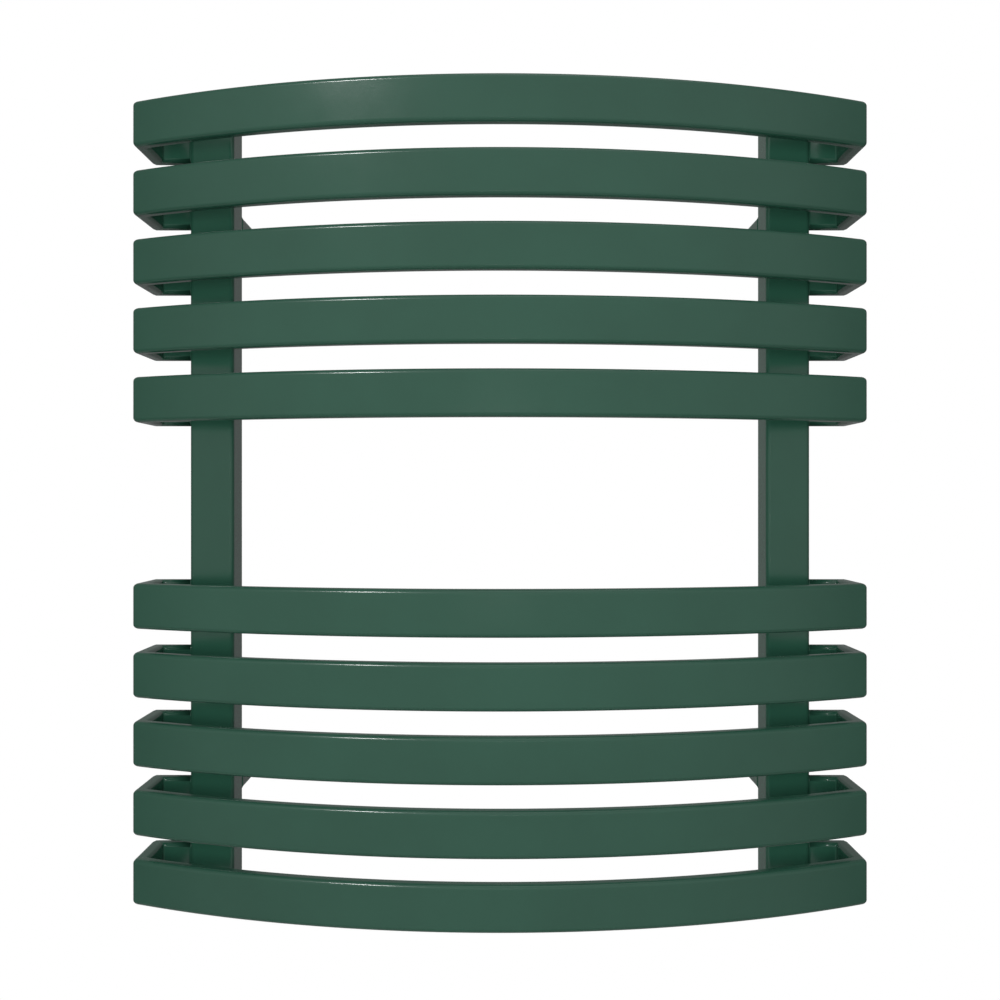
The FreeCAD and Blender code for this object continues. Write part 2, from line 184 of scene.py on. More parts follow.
cameraRig = {
    "lens": 43.456,
    "toBow": 0.7422,          # from the lens to the front of the bows
    "overMiddle": 0.0019,
    "sensor": 36,
    "clip": (0.01, 50),
}


def makeCamera():
    data = bpy.data.cameras.new("camera")
    data.sensor_width = cameraRig["sensor"]
    data.lens = cameraRig["lens"]
    data.clip_start, data.clip_end = cameraRig["clip"]
    camera = bpy.data.objects.new("camera", data)
    camera.rotation_euler = (pi / 2, 0, 0)
    rungMiddle = (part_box("rung_01_bow")[1].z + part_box("rung_10_bow")[0].z) / 2
    camera.location = (0, cadLow.y - cameraRig["toBow"], rungMiddle + cameraRig["overMiddle"])
    bpy.context.scene.collection.objects.link(camera)
    bpy.context.scene.camera = camera


studio = {
    "floorZ": -1.3,
    "floorX": (-1.8, 1.8),
    "floorY": (-1.7, 1.5),
    "floorColor": (0.8, 0.8, 0.79, 1),
    "floorRoughness": 0.8,
    "floorGlow": 0.75,
    "backdrop": (1, 1, 1, 1),
    # grey of the room that the gloss sees, from straight ahead of the rail round to the wall
    "room": ((0.0, 0.80), (0.20, 0.70), (0.31, 0.38), (0.5, 0.26), (1.0, 0.25)),
    "roomBelow": 0.55,
    "roomAbove": 1.15,
    "fillBelow": 0.07,        # the even light that falls on everything, from below and from above
    "fillAbove": 0.26,
}
lamps = {
    # name: place, what it points at, width, height, brightness of its face, seen in the gloss, shadows.
    # The key box casts no shadow, so that it reaches into the gaps between the rungs.
    "faceLight": ((0, -1.12, 0.002), (0, 0, 0), 0.24, 0.24, 27.0, False, True),
    "topBox": ((0.3, -0.5, 2.2), (0, -0.1, 0), 1.4, 1.2, 0.8, True, True),
    "keyBox": ((-0.99, -1.90, 1.38), (-0.09, -0.15, 0), 0.29, 0.29, 63.0, True, False),
    "rearBox": ((-1.50, 1.90, 0.90), (0, 0, 0), 1.20, 1.00, 6.0, False, True),
}


def makeWorld():
    world = bpy.data.worlds.new("studio")
    bpy.context.scene.world = world
    world.use_nodes = True
    nodes, links = world.node_tree.nodes, world.node_tree.links
    nodes.clear()
    place = nodes.new("ShaderNodeTexCoord")
    split = nodes.new("ShaderNodeSeparateXYZ")
    depth, height, fill = (nodes.new("ShaderNodeMapRange") for _ in range(3))
    for node in (depth, height, fill):
        node.inputs["From Min"].default_value = -1
    height.inputs["To Min"].default_value = studio["roomBelow"]
    height.inputs["To Max"].default_value = studio["roomAbove"]
    fill.inputs["To Min"].default_value = studio["fillBelow"]
    fill.inputs["To Max"].default_value = studio["fillAbove"]
    ramp = nodes.new("ShaderNodeValToRGB")
    stops = ramp.color_ramp.elements
    for index, (where, grey) in enumerate(studio["room"]):
        stop = stops[index] if index < 2 else stops.new(where)
        stop.position = where
        stop.color = (grey, grey, grey, 1)
    path = nodes.new("ShaderNodeLightPath")
    room, even, plain = (nodes.new("ShaderNodeBackground") for _ in range(3))
    plain.inputs["Color"].default_value = studio["backdrop"]
    lit, seen = nodes.new("ShaderNodeMixShader"), nodes.new("ShaderNodeMixShader")
    out = nodes.new("ShaderNodeOutputWorld")
    links.new(place.outputs["Generated"], split.inputs[0])
    links.new(split.outputs["Y"], depth.inputs["Value"])
    links.new(split.outputs["Z"], height.inputs["Value"])
    links.new(split.outputs["Z"], fill.inputs["Value"])
    links.new(fill.outputs["Result"], even.inputs["Strength"])
    links.new(depth.outputs["Result"], ramp.inputs["Fac"])
    links.new(ramp.outputs["Color"], room.inputs["Color"])
    links.new(height.outputs["Result"], room.inputs["Strength"])
    links.new(path.outputs["Is Diffuse Ray"], lit.inputs["Fac"])
    links.new(room.outputs[0], lit.inputs[1])
    links.new(even.outputs[0], lit.inputs[2])
    links.new(path.outputs["Is Camera Ray"], seen.inputs["Fac"])
    links.new(lit.outputs[0], seen.inputs[1])
    links.new(plain.outputs[0], seen.inputs[2])
    links.new(seen.outputs[0], out.inputs["Surface"])


def makeLamps():
    for name, (place, target, width, height, brightness, inGloss, shadows) in lamps.items():
        light = bpy.data.lights.new(name, "AREA")
        light.shape = "RECTANGLE"
        light.size, light.size_y = width, height
        light.energy = brightness * pi * width * height
        light.use_shadow = shadows
        lamp = bpy.data.objects.new(name, light)
        aim = Vector(target) - Vector(place)
        lamp.location = place
        lamp.rotation_euler = aim.to_track_quat("-Z", "Y").to_euler()
        lamp.visible_camera = False
        lamp.visible_glossy = inGloss
        bpy.context.scene.collection.objects.link(lamp)


def makeFloor():
    deselectAll()
    (x0, x1), (y0, y1) = studio["floorX"], studio["floorY"]
    centre = ((x0 + x1) / 2, (y0 + y1) / 2, studio["floorZ"])
    bpy.ops.mesh.primitive_plane_add(size=1, location=centre)
    floor = bpy.context.active_object
    floor.scale = (x1 - x0, y1 - y0, 1)
    floor = named("floor")
    material = bpy.data.materials.new("paleFloor")
    material.use_nodes = True
    shader = material.node_tree.nodes["Principled BSDF"]
    shader.inputs["Base Color"].default_value = studio["floorColor"]
    shader.inputs["Emission Color"].default_value = studio["floorColor"]
    shader.inputs["Roughness"].default_value = studio["floorRoughness"]
    # the floor is kept pale without throwing light up at the rail
    nodes, links = material.node_tree.nodes, material.node_tree.links
    path, glow = nodes.new("ShaderNodeLightPath"), nodes.new("ShaderNodeMath")
    glow.operation = "MULTIPLY"
    glow.inputs[1].default_value = studio["floorGlow"]
    links.new(path.outputs["Is Camera Ray"], glow.inputs[0])
    links.new(glow.outputs[0], shader.inputs["Emission Strength"])
    floor.data.materials.append(material)


class Finish:
    # a material with one Principled shader, and short calls for the nodes that feed it

    def __init__(self, name, **sockets):
        self.material = bpy.data.materials.new(name)
        self.material.use_nodes = True
        self.nodes = self.material.node_tree.nodes
        self.links = self.material.node_tree.links
        self.shader = self.nodes["Principled BSDF"]
        for key, value in sockets.items():
            self.shader.inputs[key.replace("_", " ")].default_value = value
        self.place = self.nodes.new("ShaderNodeTexCoord").outputs["Object"]

    def mapped(self, centre=(0, 0, 0), scale=(1, 1, 1)):
        node = self.nodes.new("ShaderNodeMapping")
        node.inputs["Location"].default_value = [-c * s for c, s in zip(centre, scale)]
        node.inputs["Scale"].default_value = scale
        self.links.new(self.place, node.inputs["Vector"])
        return node.outputs["Vector"]

    def noise(self, scale, detail=3.0, rough=0.5, place=None, distortion=0.0):
        node = self.nodes.new("ShaderNodeTexNoise")
        node.inputs["Scale"].default_value = scale
        node.inputs["Detail"].default_value = detail
        node.inputs["Roughness"].default_value = rough
        node.inputs["Distortion"].default_value = distortion
        self.links.new(place or self.place, node.inputs["Vector"])
        return node.outputs["Fac"]

    def cells(self, scale):
        node = self.nodes.new("ShaderNodeTexVoronoi")
        node.inputs["Scale"].default_value = scale
        self.links.new(self.place, node.inputs["Vector"])
        return node.outputs["Distance"]

    def mapRange(self, source, low, high, toLow, toHigh):
        node = self.nodes.new("ShaderNodeMapRange")
        for key, value in (("From Min", low), ("From Max", high), ("To Min", toLow), ("To Max", toHigh)):
            node.inputs[key].default_value = value
        self.links.new(source, node.inputs["Value"])
        return node.outputs["Result"]

    def math(self, operation, a, b):
        node = self.nodes.new("ShaderNodeMath")
        node.operation = operation
        for socket, value in zip(node.inputs, (a, b)):
            if isinstance(value, (int, float)):
                socket.default_value = value
            else:
                self.links.new(value, socket)
        return node.outputs[0]

    def blend(self, factor, first, second):
        node = self.nodes.new("ShaderNodeMix")
        node.data_type = "RGBA"
        self.links.new(factor, node.inputs["Factor"])
        for key, value in (("A", first), ("B", second)):
            socket = [s for s in node.inputs if s.name == key and s.type == "RGBA"][0]
            if isinstance(value, tuple):
                socket.default_value = value
            else:
                self.links.new(value, socket)
        return [s for s in node.outputs if s.type == "RGBA"][0]

    def color(self, source):
        self.links.new(source, self.shader.inputs["Base Color"])

    def roughness(self, source):
        self.links.new(source, self.shader.inputs["Roughness"])

    def bump(self, height, distance, strength=1.0, under=None):
        node = self.nodes.new("ShaderNodeBump")
        node.inputs["Distance"].default_value = distance
        node.inputs["Strength"].default_value = strength
        self.links.new(height, node.inputs["Height"])
        if under is not None:
            self.links.new(under, node.inputs["Normal"])
        self.links.new(node.outputs["Normal"], self.shader.inputs["Normal"])
        return node.outputs["Normal"]

    def upward(self, low, high):
        # 0 to 1 as the surface turns to face up
        geometry = self.nodes.new("ShaderNodeNewGeometry")
        split = self.nodes.new("ShaderNodeSeparateXYZ")
        self.links.new(geometry.outputs["Normal"], split.inputs[0])
        return self.mapRange(split.outputs["Z"], low, high, 0, 1)


def powderCoat():
    # glossy dark green powder coat: orange peel, faint cloudiness, fine nibs, dust on top
    finish = Finish("powderCoat", IOR=1.5)
    clouds = finish.noise(14, 4, 0.6)
    deep, light = (0.0187, 0.0768, 0.0488, 1), (0.0217, 0.0868, 0.0558, 1)
    base = finish.blend(finish.mapRange(clouds, 0.3, 0.7, 0, 1), deep, light)
    speck = finish.mapRange(finish.noise(1400, 2, 0.6), 0.62, 0.78, 0, 0.35)
    base = finish.blend(speck, base, (0.030, 0.110, 0.075, 1))
    settled = finish.mapRange(finish.noise(60, 6, 0.7), 0.45, 0.75, 0, 0.10)
    dust = finish.math("MULTIPLY", finish.upward(0.6, 0.98), settled)
    finish.color(finish.blend(dust, base, (0.20, 0.21, 0.19, 1)))
    gloss = finish.mapRange(finish.noise(38, 4, 0.6), 0.3, 0.7, 0.16, 0.20)
    finish.roughness(finish.math("ADD", gloss, finish.math("MULTIPLY", dust, 1.5)))
    peel = finish.bump(finish.noise(430, 2, 0.45), 0.00012, 0.15)
    nibs = finish.mapRange(finish.cells(260), 0.0, 0.10, 1, 0)
    grain = finish.bump(finish.noise(2600, 1, 0.5), 0.00002, 0.4, peel)
    finish.bump(nibs, 0.00003, 0.25, grain)
    return finish.material


def zincPlate():
    # zinc plating on cut tube: drawn lines, faint spangle, a few dull patches
    finish = Finish("zincPlate", Metallic=1.0, Anisotropic=0.35)
    spangle = finish.mapRange(finish.cells(220), 0.1, 0.8, 0, 1)
    base = finish.blend(spangle, (0.52, 0.54, 0.56, 1), (0.66, 0.66, 0.64, 1))
    dull = finish.mapRange(finish.noise(70, 5, 0.7), 0.56, 0.72, 0, 0.5)
    finish.color(finish.blend(dull, base, (0.40, 0.40, 0.38, 1)))
    lines = finish.noise(900, 2, 0.6, finish.mapped(scale=(1, 0.04, 1)))
    finish.roughness(finish.mapRange(lines, 0.3, 0.7, 0.26, 0.46))
    finish.bump(lines, 0.00003, 0.5)
    return finish.material


def blackOxide():
    # oiled black oxide on a set screw, worn bright in spots
    finish = Finish("blackOxide", Metallic=0.85)
    worn = finish.mapRange(finish.noise(900, 4, 0.7), 0.60, 0.72, 0, 0.7)
    finish.color(finish.blend(worn, (0.045, 0.045, 0.05, 1), (0.32, 0.31, 0.30, 1)))
    finish.roughness(finish.mapRange(finish.noise(1500, 3, 0.6), 0.3, 0.7, 0.30, 0.5))
    finish.bump(finish.noise(2400, 2, 0.5), 0.00002, 0.4)
    return finish.material


def nickelPlate(centre):
    # bright nickel over a turned face: rings from the tool, a light haze
    finish = Finish("nickelPlate" + ("Left" if centre[0] < 0 else "Right"), Metallic=1.0)
    rings = finish.nodes.new("ShaderNodeTexWave")
    rings.wave_type, rings.rings_direction = "RINGS", "Z"
    rings.inputs["Scale"].default_value = 900
    rings.inputs["Distortion"].default_value = 0.6
    finish.links.new(finish.mapped(centre), rings.inputs["Vector"])
    haze = finish.noise(260, 5, 0.65)
    dulled = finish.mapRange(haze, 0.35, 0.7, 0, 1)
    finish.color(finish.blend(dulled, (0.78, 0.78, 0.77, 1), (0.66, 0.66, 0.65, 1)))
    finish.roughness(finish.mapRange(haze, 0.3, 0.7, 0.10, 0.24))
    finish.bump(rings.outputs["Fac"], 0.00002, 0.35)
    return finish.material


def turnedBrass():
    finish = Finish("turnedBrass", Metallic=1.0)
    tarnish = finish.mapRange(finish.noise(320, 5, 0.7), 0.42, 0.7, 0, 1)
    finish.color(finish.blend(tarnish, (0.74, 0.56, 0.25, 1), (0.42, 0.29, 0.11, 1)))
    finish.roughness(finish.mapRange(tarnish, 0, 1, 0.20, 0.42))
    finish.bump(finish.noise(3000, 1, 0.5, finish.mapped(scale=(0.1, 0.1, 1))), 0.00002, 0.6)
    return finish.material


def bareThread():
    # steel that was masked while the rest was coated
    finish = Finish("bareThread", Metallic=1.0)
    tint = finish.mapRange(finish.noise(420, 5, 0.7), 0.45, 0.7, 0, 1)
    finish.color(finish.blend(tint, (0.50, 0.50, 0.49, 1), (0.33, 0.30, 0.27, 1)))
    finish.roughness(finish.mapRange(tint, 0, 1, 0.25, 0.5))
    finish.bump(finish.noise(2500, 2, 0.6), 0.00002, 0.4)
    return finish.material


def sealRubber():
    finish = Finish("sealRubber", IOR=1.5)
    bloom = finish.mapRange(finish.noise(300, 5, 0.7), 0.5, 0.75, 0, 0.6)
    finish.color(finish.blend(bloom, (0.018, 0.018, 0.019, 1), (0.055, 0.055, 0.055, 1)))
    finish.roughness(finish.mapRange(bloom, 0, 0.6, 0.62, 0.8))
    finish.bump(finish.noise(2200, 3, 0.6), 0.00003, 0.5)
    return finish.material


def mouldedPlastic(name, light, dark, rough):
    # moulded plastic with a fine spark-eroded grain and faint flow marks
    finish = Finish(name, IOR=1.48)
    flow = finish.noise(90, 3, 0.5, distortion=0.8)
    finish.color(finish.blend(finish.mapRange(flow, 0.35, 0.7, 0, 1), light, dark))
    finish.roughness(finish.mapRange(finish.noise(700, 3, 0.6), 0.3, 0.7, rough - 0.06, rough + 0.08))
    finish.bump(finish.cells(1900), 0.00003, 0.45)
    return finish.material


rungShape = {
    "bowRadius": 0.570,
    "tubeDepth": 0.010,
    "tubeEdge": 0.0030,       # roundness along the tube
    "edgeSteps": 6,
    "bowSteps": 44,           # along half a bow
    "bowTurn": 24.0,          # degrees of bow before the straight run into the mitre
    "runTurn": 0.6,           # degrees that this run lies beyond the bow
    "runLength": 0.03,
    "outerBend": 0.0032,
    "middleBend": 0.0021,
    "innerBend": 0.0010,
    "bendSteps": 6,
    "fullBevel": 0.01,        # width of the bevel on an edge of full weight
    "bandPast": 0.01,         # how far the outer and inner bands go past the tube, in its depth
    "bandSlack": 1e-4,
    "intoCollector": 0.0004,
}


def roundedLoop(name, centre, turn, across, up, radius, steps):
    # a closed rounded rectangle of edges, lying square to X, Y or Z
    deselectAll()
    rotation = {"X": (0, pi / 2, 0), "Y": (pi / 2, 0, 0), "Z": (0, 0, 0)}[turn]
    bpy.ops.mesh.primitive_plane_add(size=1, location=centre, rotation=rotation)
    loop = bpy.context.active_object
    loop.scale = (up, across, 1) if turn == "X" else (across, up, 1)
    loop = named(name)
    openEdit()
    bpy.ops.mesh.select_all(action="SELECT")
    bpy.ops.mesh.bevel(offset=radius, segments=steps, affect="VERTICES")
    bpy.ops.mesh.select_all(action="SELECT")
    bpy.ops.mesh.delete(type="ONLY_FACE")
    closeEdit()
    return loop


def easeBend(point, normal, outside, inside, halfTurn):
    # weigh the edges of one mitre, so that one bevel gives the outside, middle and inside their radii
    across = (inside - outside) / (inside - outside).length_squared
    edge = rungShape["tubeEdge"] / rungShape["tubeDepth"]
    past, slack = rungShape["bandPast"], rungShape["bandSlack"]
    radii = ((-past, edge, "outerBend"), (edge, 1 - edge, "middleBend"), (1 - edge, 1 + past, "innerBend"))
    for low, high, name in radii:
        def inBand(co):
            flat = Vector((co.x, co.y, 0))
            share = (flat - outside).dot(across)
            return onPlane(point, normal)(flat) and low - slack < share < high + slack
        pick("EDGE", inBand)
        weight = rungShape[name] * tan(halfTurn) / rungShape["fullBevel"]
        bpy.ops.transform.edge_bevelweight(value=weight)


def modelRung():
    shape = rungShape
    low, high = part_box("rung_01_bow")
    backLow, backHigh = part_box("rung_01_right_return")
    height, level = high.z - low.z, (high.z + low.z) / 2
    depth, radius = shape["tubeDepth"], shape["bowRadius"]
    half, stubX, stubY = backHigh.x, backLow.x, backHigh.y
    bowCentre = low.y + radius
    rung = roundedLoop("towelRung01", (0, low.y + depth / 2, level), "X", depth, height,
                       shape["tubeEdge"], shape["edgeSteps"])
    openEdit()
    bpy.ops.mesh.select_all(action="SELECT")
    turn = radians(shape["bowTurn"])
    bpy.ops.mesh.spin(steps=shape["bowSteps"], angle=-turn, center=(0, bowCentre, 0), axis=(0, 0, 1))

    # straight into the front mitre, back along the side, then in along the stub
    outer = Vector((half, bowCentre - (radius**2 - half**2) ** 0.5, 0))
    innerX, innerR = half - depth, radius - depth
    inner = Vector((innerX, bowCentre - (innerR**2 - innerX**2) ** 0.5, 0))
    frontCut = Vector((0, 0, 1)).cross(inner - outer).normalized()
    if frontCut.y < 0:
        frontCut.negate()
    heading, run = turn + radians(shape["runTurn"]), shape["runLength"]
    extrude((run * cos(heading), run * sin(heading), 0))
    cutRun(outer, frontCut)
    extrude((0, 2 * (stubY - outer.y), 0))
    corner, backCut = Vector((half, stubY, 0)), Vector((-1, 1, 0)).normalized()
    cutRun(corner, backCut)
    extrude((-2 * (half - stubX), 0, 0))
    cutRun(Vector((stubX - shape["intoCollector"], 0, 0)), Vector((-1, 0, 0)))
    bpy.ops.mesh.edge_face_add()

    # ease the two welded corners, more on the outside than on the inside
    easeBend(outer, frontCut, outer, inner, (radians(90) - asin(half / radius)) / 2)
    easeBend(corner, backCut, corner, corner - Vector((depth, depth, 0)), pi / 4)
    closeEdit()
    applyModifier("BEVEL", width=shape["fullBevel"], segments=shape["bendSteps"], limit_method="WEIGHT",
                  use_clamp_overlap=False)
    applyModifier("MIRROR", merge_threshold=1e-5)
    cleanNormals()
    smooth()
    return rung


def makeRungs(coat):
    first = modelRung()
    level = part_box("rung_01_bow")[1].z
    for number in rungNumbers:
        label = f"rung_{number:02d}"
        shift = (0, 0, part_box(f"{label}_bow")[1].z - level)
        rung = first if number == 1 else copyTo(first, f"towelRung{number:02d}", shift)
        nodes = [f"{label}_bow", f"{label}_left_return", f"{label}_right_return"]
        finishPiece(rung, coat, "rail", "powder_coat", *nodes)
    print("rungs modelled:", len(rungNumbers), "of", len(first.data.polygons), "faces")


welds = {
    "stubBead": 0.0007,       # radius of the bead round a stub
    "sleeveBead": 0.0006,
    "seamBead": 0.0004,
    "sleeveSink": 0.5,        # how far a bead is let into flush sides, in its own radius
    "seamSink": 0.7,
    "cornerRadius": 0.0030,
    "cornerSteps": 5,
    "spacing": 0.0012,        # longest step along the bead
    "beadSteps": 3,
    "ripple": 0.00016,
    "rippleSize": 0.0012,
}


def beadRound(name, loop, radius):
    # a bead of filler along a closed loop, a little uneven
    openEdit()
    while True:
        mesh = bmesh.from_edit_mesh(loop.data)
        bpy.ops.mesh.select_all(action="DESELECT")
        longEdges = [edge for edge in mesh.edges if edge.calc_length() > welds["spacing"]]
        if not longEdges:
            break
        for edge in longEdges:
            edge.select_set(True)
        bmesh.update_edit_mesh(loop.data)
        bpy.ops.mesh.subdivide(number_cuts=1)
    closeEdit()
    bpy.ops.object.convert(target="CURVE")
    loop = bpy.context.active_object
    loop.data.bevel_depth = radius
    loop.data.bevel_resolution = welds["beadSteps"]
    bpy.ops.object.convert(target="MESH")
    bead = bpy.context.active_object
    bead.name = name
    bead.data.name = name
    ripple = bpy.data.textures.new(name + "Ripple", "CLOUDS")
    ripple.noise_scale = welds["rippleSize"]
    applyModifier("DISPLACE", texture=ripple, strength=welds["ripple"], texture_coords="LOCAL")
    cleanNormals()
    smooth(weighted=False)
    return bead


def weldLoop(centre, turn, across, up):
    return roundedLoop("weldLoop", centre, turn, across, up, welds["cornerRadius"], welds["cornerSteps"])


def copyToCorners(first, coat, copies):
    # one bead for each corner of the rail, from the first
    for name, mirrorX, mirrorZ in copies:
        finishPiece(copyTo(first, name, (0, 0, 0), mirrorX, mirrorZ), coat, "rail", "powder_coat")
    finishPiece(first, coat, "rail", "powder_coat")


def makeWelds(coat):
    # round each stub, where it meets the outer side of its collector
    low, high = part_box("rung_01_right_return")
    across = rungShape["tubeDepth"]
    centre = (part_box("right_collector")[1].x, high.y - across / 2, (low.z + high.z) / 2)
    first = beadRound("rightStubWeld01", weldLoop(centre, "X", across, high.z - low.z), welds["stubBead"])
    for number in rungNumbers:
        shift = (0, 0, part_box(f"rung_{number:02d}_bow")[1].z - high.z)
        if number > 1:
            finishPiece(copyTo(first, f"rightStubWeld{number:02d}", shift), coat, "rail", "powder_coat")
        twin = copyTo(first, f"leftStubWeld{number:02d}", shift, mirrorX=True)
        finishPiece(twin, coat, "rail", "powder_coat")
    finishPiece(first, coat, "rail", "powder_coat")

    # round each sleeve, against the back of the collector
    low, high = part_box("upper_right_sleeve")
    centre = ((low.x + high.x) / 2, low.y, (low.z + high.z) / 2)
    size = high.x - low.x - 2 * welds["sleeveSink"] * welds["sleeveBead"]
    loop = weldLoop(centre, "Y", size, high.z - low.z)
    first = beadRound("upperRightSleeveWeld", loop, welds["sleeveBead"])
    copyToCorners(first, coat, (("upperLeftSleeveWeld", True, False), ("lowerRightSleeveWeld", False, True),
                                ("lowerLeftSleeveWeld", True, True)))

    # round each threaded block, where it closes its collector
    low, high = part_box("right_bottom_socket")
    centre = ((low.x + high.x) / 2, (low.y + high.y) / 2, high.z)
    size = high.x - low.x - 2 * welds["seamSink"] * welds["seamBead"]
    first = beadRound("rightBottomSeam", weldLoop(centre, "Z", size, size), welds["seamBead"])
    copyToCorners(first, coat, (("leftBottomSeam", True, False), ("rightTopSeam", False, True),
                                ("leftTopSeam", True, True)))
    print("welds laid:", 2 * len(rungNumbers) + 8)


socketShape = {
    "pitch": 0.001814,
    "rootRadius": 0.01048,
    "tipRadius": 0.00932,
    "turns": 5,
    "boreSteps": 96,
    "crest": 0.18,            # width of the crest, in pitches
    "root": 0.96,             # width of the root, in pitches
    "intoBlock": 0.00008,
    "entry": 0.0006,          # from the mouth to the first turn
    "reach": 2.2,             # how far out the block is drawn before its sides are cut, in bore radii
    "cornerRadius": 0.003,
    "cornerSteps": 6,
    "cornerSlack": 1e-5,
    "easing": 0.00025,
    "easeAngle": radians(50),
    "threadAngle": radians(40),
}


def makeSocketBlock():
    # a ring drawn out past the block's corners, cut square on four sides and raised
    shape = socketShape
    low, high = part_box("right_bottom_socket")
    x, y, mouth = (low.x + high.x) / 2, (low.y + high.y) / 2, low.z
    deselectAll()
    bpy.ops.mesh.primitive_circle_add(vertices=shape["boreSteps"], radius=shape["rootRadius"],
                                      location=(x, y, mouth))
    block = named("rightBottomSocketBlock")
    openEdit()
    bpy.ops.mesh.select_all(action="SELECT")
    extrude((0, 0, 0))
    bpy.ops.transform.resize(value=(shape["reach"], shape["reach"], 1), center_override=(x, y, mouth))
    for point, normal in (((high.x, y, mouth), (1, 0, 0)), ((low.x, y, mouth), (-1, 0, 0)),
                          ((x, high.y, mouth), (0, 1, 0)), ((x, low.y, mouth), (0, -1, 0))):
        bpy.ops.mesh.select_all(action="SELECT")
        bpy.ops.mesh.bisect(plane_co=point, plane_no=normal, clear_outer=True)
    bpy.ops.mesh.select_all(action="SELECT")
    extrude((0, 0, high.z - low.z))
    half = (high.x - low.x) / 2 - shape["cornerSlack"]
    pick("EDGE", lambda co: abs(co.x - x) > half and abs(co.y - y) > half)
    bpy.ops.mesh.bevel(offset=shape["cornerRadius"], segments=shape["cornerSteps"], affect="EDGES")
    closeEdit()
    cleanNormals()
    applyModifier("BEVEL", width=shape["easing"], segments=turning["easeSteps"], limit_method="ANGLE",
                  angle_limit=shape["easeAngle"])
    bpy.ops.object.shade_smooth_by_angle(angle=turning["shadeAngle"])
    return block


def makeSocketThread():
    # one turn of the thread is a short trapezium, screwed upwards
    shape = socketShape
    low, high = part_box("right_bottom_socket")
    x, y = (low.x + high.x) / 2, (low.y + high.y) / 2
    pitch, tip, root = shape["pitch"], shape["tipRadius"], shape["rootRadius"]
    deselectAll()
    centre = (x + (root + tip) / 2, y, low.z + shape["entry"] + pitch / 2)
    bpy.ops.mesh.primitive_plane_add(size=1, location=centre, rotation=(pi / 2, 0, 0))
    thread = bpy.context.active_object
    thread.scale = (root - tip, pitch, 1)
    thread = named("rightBottomSocketThread")
    openEdit()
    pick("VERT", lambda co: co.x < centre[0])
    bpy.ops.transform.resize(value=(1, 1, shape["crest"]), center_override=centre)
    pick("VERT", lambda co: co.x > centre[0])
    bpy.ops.transform.translate(value=(shape["intoBlock"], 0, 0))
    bpy.ops.transform.resize(value=(1, 1, shape["root"]), center_override=centre)
    bpy.ops.mesh.select_all(action="SELECT")
    bpy.ops.mesh.delete(type="ONLY_FACE")
    closeEdit()
    thread.data.transform(Matrix.Translation((-x, -y, 0)))
    applyModifier("SCREW", axis="Z", angle=2 * pi, screw_offset=pitch, iterations=shape["turns"],
                  steps=shape["boreSteps"], render_steps=shape["boreSteps"], use_merge_vertices=True,
                  merge_threshold=1e-7)
    thread.data.transform(Matrix.Translation((x, y, 0)))
    openEdit()
    bpy.ops.mesh.select_all(action="SELECT")
    bpy.ops.mesh.fill_holes(sides=0)
    closeEdit()
    cleanNormals()
    bpy.ops.object.shade_smooth_by_angle(angle=shape["threadAngle"])
    return thread


def makeSockets(coat, steel):
    block, thread = makeSocketBlock(), makeSocketThread()
    for side, end, mirrorX, mirrorZ in (("left", "bottom", True, False), ("right", "top", False, True),
                                        ("left", "top", True, True)):
        twin = copyTo(block, f"{side}{end.title()}SocketBlock", (0, 0, 0), mirrorX, mirrorZ)
        finishPiece(twin, coat, "rail", "powder_coat", f"{side}_{end}_socket")
        twin = copyTo(thread, f"{side}{end.title()}SocketThread", (0, 0, 0), mirrorX, mirrorZ)
        finishPiece(twin, steel, "rail", "powder_coat")
    finishPiece(block, coat, "rail", "powder_coat", "right_bottom_socket")
    finishPiece(thread, steel, "rail", "powder_coat")
    print("threaded sockets cut: 4")


turning = {
    "steps": 72,
    "easing": 0.00018,        # width of the eased edges
    "easeSteps": 2,
    "easeAngle": radians(40),  # edges sharper than this are eased
    "shadeAngle": radians(35),
}


def turned(name, centre, outline, closed=False):
    # rings of (radius, height) one after another, the last joined to the first or both ends filled
    deselectAll()
    radius, height = outline[0]
    bpy.ops.mesh.primitive_circle_add(vertices=turning["steps"], radius=radius,
                                      location=(centre.x, centre.y, height))
    piece = named(name)
    openEdit()
    bpy.ops.mesh.select_all(action="SELECT")
    for nextRadius, nextHeight in outline[1:]:
        extrude((0, 0, nextHeight - height))
        grow = nextRadius / radius
        bpy.ops.transform.resize(value=(grow, grow, 1), center_override=(centre.x, centre.y, nextHeight))
        radius, height = nextRadius, nextHeight
    bpy.ops.mesh.select_all(action="SELECT")
    if not closed:
        bpy.ops.mesh.fill_holes(sides=0)
    closeEdit()
    cleanNormals()
    return piece


def cut(piece, operation, tool):
    # add a tool's shape or take it away, then throw the tool away
    bpy.context.view_layer.objects.active = piece
    applyModifier("BOOLEAN", object=tool, operation=operation, solver="EXACT")
    mesh = tool.data
    bpy.data.objects.remove(tool)
    bpy.data.meshes.remove(mesh)


def prismAt(sides, radius, centre, low, high, turn=0.0):
    deselectAll()
    bpy.ops.mesh.primitive_cylinder_add(vertices=sides, radius=radius, depth=high - low,
                                        location=(centre.x, centre.y, (low + high) / 2),
                                        rotation=(0, 0, turn))
    return named("tool")


def ease(piece, width):
    makeActive(piece)
    applyModifier("BEVEL", width=width, segments=turning["easeSteps"], limit_method="ANGLE",
                  angle_limit=turning["easeAngle"], use_clamp_overlap=True)
    bpy.ops.object.shade_smooth_by_angle(angle=turning["shadeAngle"])


plugShape = {
    "shankRadius": 0.00925,
    "lead": 0.0006,
    "flangeHeight": 0.0025,
    "flangeEdge": 0.0005,
    "keyRadius": 0.00693,
    "keyDepth": 0.007,
    "keyOver": 0.01,          # how far the key's cutter stands out of the plug
}


